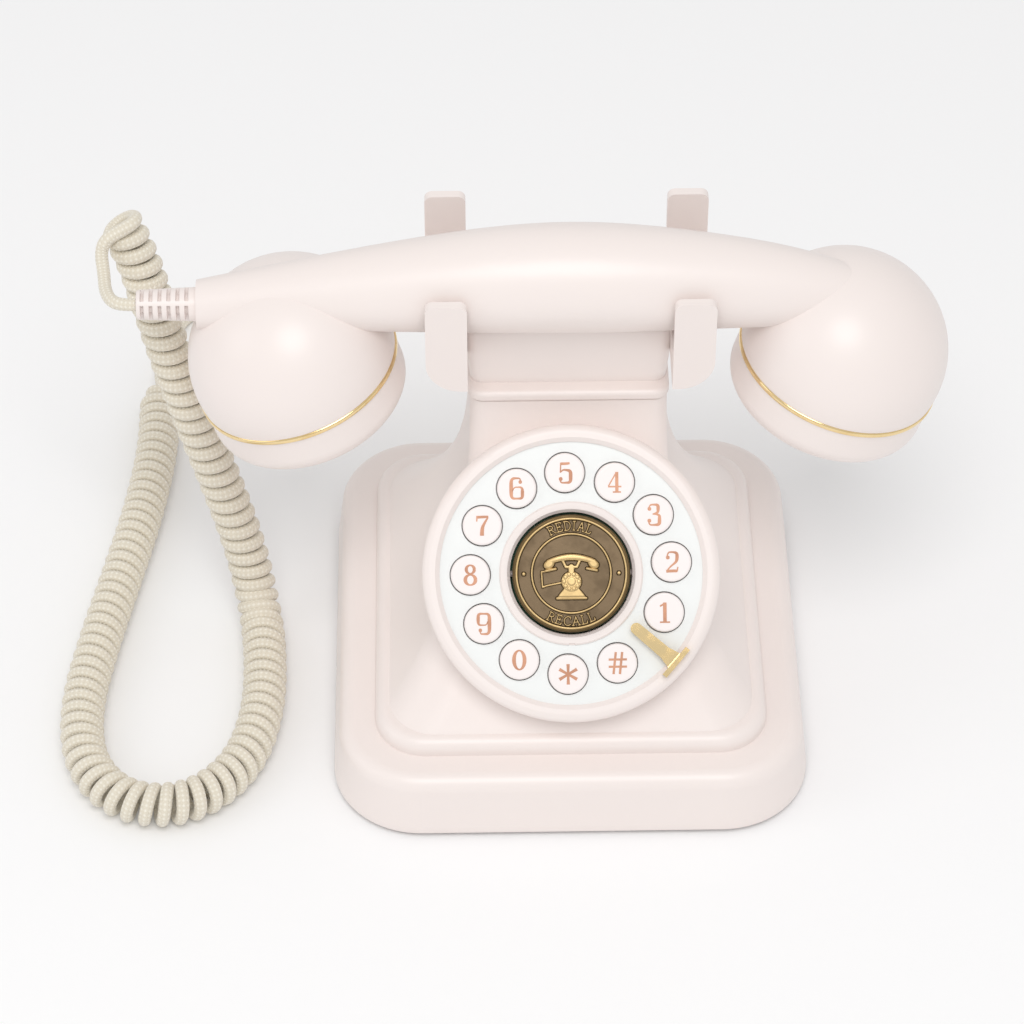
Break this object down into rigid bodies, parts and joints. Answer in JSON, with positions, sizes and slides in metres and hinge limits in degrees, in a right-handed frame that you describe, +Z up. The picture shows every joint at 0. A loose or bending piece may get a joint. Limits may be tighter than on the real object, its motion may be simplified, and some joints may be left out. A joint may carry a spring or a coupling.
{
  "type": "desk telephone",
  "caption": "Retro desk telephone: stepped base, bell pedestal, round push-button face, pronged cradle and arched handset on a curly cord.",
  "frame": {"origin": "on the surface the phone stands on, under the middle of the base", "axes": "+X to the user's right along the handset, -Y towards the user, +Z up"},
  "size_m": [0.2829, 0.259, 0.1682],
  "materials": {
    "ivory_plastic": "glossy moulded ABS, warm ivory with a pink cast",
    "dial_white": "glossy cool white plate",
    "key_plastic": "satin ivory buttons",
    "antique_bronze": "antiqued bronze, dark in the hollows, bright on the raised edges",
    "gold_trim": "polished gold plating",
    "cord_fabric": "cream braided cloth",
    "clear_plug": "clear moulded plug",
    "dark_rubber": "matt rubber",
    "black_plastic": "matt moulded plastic",
    "circuit_board": "green solder resist",
    "plain_steel": "zinc-plated steel",
    "copper_print": "rose-copper printed numerals"
  },
  "bodies": {
    "base": {"body_shell": "ivory_plastic", "base_plate": "ivory_plastic", "cradle": "ivory_plastic", "centre_collar": "ivory_plastic", "dial_plate": "dial_white", "finger_stop": "gold_trim", "handset_cord_lead": "cord_fabric", "handset_cord_curl": "cord_fabric", "handset_cord_tail": "cord_fabric", "cord_plug": "clear_plug", "rubber_feet": "dark_rubber", "keypad_mat": "dark_rubber", "handset_jack": "black_plastic", "line_jack": "black_plastic", "ringer_speaker": "black_plastic", "hook_switch": "black_plastic", "redial_switches": "black_plastic", "keypad_board": "circuit_board", "main_board": "circuit_board", "base_screws": "plain_steel", "cradle_screws": "plain_steel", "keypad_screws": "plain_steel", "main_board_screws": "plain_steel", "hook_bracket": "plain_steel", "hook_spring": "plain_steel", "base_weights": "plain_steel"},
    "handset": {"handset_shell": "ivory_plastic", "mouth_ring": "gold_trim", "ear_ring": "gold_trim", "mouth_cap": "ivory_plastic", "ear_cap": "ivory_plastic", "receiver_capsule": "black_plastic", "microphone_capsule": "black_plastic", "handset_weight": "plain_steel", "strain_relief": "ivory_plastic"},
    "hook": {"hook_plunger": "ivory_plastic"},
    "rocker": {"redial_rocker": "ivory_plastic", "medallion": "antique_bronze"},
    "button_1": {"key_1": "key_plastic"},
    "button_2": {"key_2": "key_plastic"},
    "button_3": {"key_3": "key_plastic"},
    "button_4": {"key_4": "key_plastic"},
    "button_5": {"key_5": "key_plastic"},
    "button_6": {"key_6": "key_plastic"},
    "button_7": {"key_7": "key_plastic"},
    "button_8": {"key_8": "key_plastic"},
    "button_9": {"key_9": "key_plastic"},
    "button_0": {"key_0": "key_plastic"},
    "button_star": {"key_star": "key_plastic"},
    "button_hash": {"key_hash": "key_plastic"}
  },
  "joints": [
    {"name": "handset_lift", "type": "slide", "parent": "base", "child": "handset", "axis": [0, 0, 1], "range_m": [0, 0.15]},
    {"name": "hook_rise", "type": "slide", "parent": "base", "child": "hook", "axis": [0, 0, 1], "range_m": [0, 0.004], "deforming": ["hook_spring"]},
    {"name": "redial_rock", "type": "hinge", "parent": "base", "child": "rocker", "pos_m": [0, -0.03046, 0.06826], "axis": [1, 0, 0], "range_deg": [-4, 4], "stiffness_Nm_per_rad": 0.4},
    {"name": "press_1", "type": "slide", "parent": "base", "child": "button_1", "axis": [0, 0.7071, -0.7071], "range_m": [0, 0.0015], "stiffness_N_per_m": 200, "springref_m": -0.001},
    {"name": "press_2", "type": "slide", "parent": "base", "child": "button_2", "axis": [0, 0.7071, -0.7071], "range_m": [0, 0.0015], "stiffness_N_per_m": 200, "springref_m": -0.001},
    {"name": "press_3", "type": "slide", "parent": "base", "child": "button_3", "axis": [0, 0.7071, -0.7071], "range_m": [0, 0.0015], "stiffness_N_per_m": 200, "springref_m": -0.001},
    {"name": "press_4", "type": "slide", "parent": "base", "child": "button_4", "axis": [0, 0.7071, -0.7071], "range_m": [0, 0.0015], "stiffness_N_per_m": 200, "springref_m": -0.001},
    {"name": "press_5", "type": "slide", "parent": "base", "child": "button_5", "axis": [0, 0.7071, -0.7071], "range_m": [0, 0.0015], "stiffness_N_per_m": 200, "springref_m": -0.001},
    {"name": "press_6", "type": "slide", "parent": "base", "child": "button_6", "axis": [0, 0.7071, -0.7071], "range_m": [0, 0.0015], "stiffness_N_per_m": 200, "springref_m": -0.001},
    {"name": "press_7", "type": "slide", "parent": "base", "child": "button_7", "axis": [0, 0.7071, -0.7071], "range_m": [0, 0.0015], "stiffness_N_per_m": 200, "springref_m": -0.001},
    {"name": "press_8", "type": "slide", "parent": "base", "child": "button_8", "axis": [0, 0.7071, -0.7071], "range_m": [0, 0.0015], "stiffness_N_per_m": 200, "springref_m": -0.001},
    {"name": "press_9", "type": "slide", "parent": "base", "child": "button_9", "axis": [0, 0.7071, -0.7071], "range_m": [0, 0.0015], "stiffness_N_per_m": 200, "springref_m": -0.001},
    {"name": "press_0", "type": "slide", "parent": "base", "child": "button_0", "axis": [0, 0.7071, -0.7071], "range_m": [0, 0.0015], "stiffness_N_per_m": 200, "springref_m": -0.001},
    {"name": "press_star", "type": "slide", "parent": "base", "child": "button_star", "axis": [0, 0.7071, -0.7071], "range_m": [0, 0.0015], "stiffness_N_per_m": 200, "springref_m": -0.001},
    {"name": "press_hash", "type": "slide", "parent": "base", "child": "button_hash", "axis": [0, 0.7071, -0.7071], "range_m": [0, 0.0015], "stiffness_N_per_m": 200, "springref_m": -0.001}
  ],
  "couplings": [
    {"joint": "hook_rise", "follows": "handset_lift", "ratio": 0.026667}
  ]
}
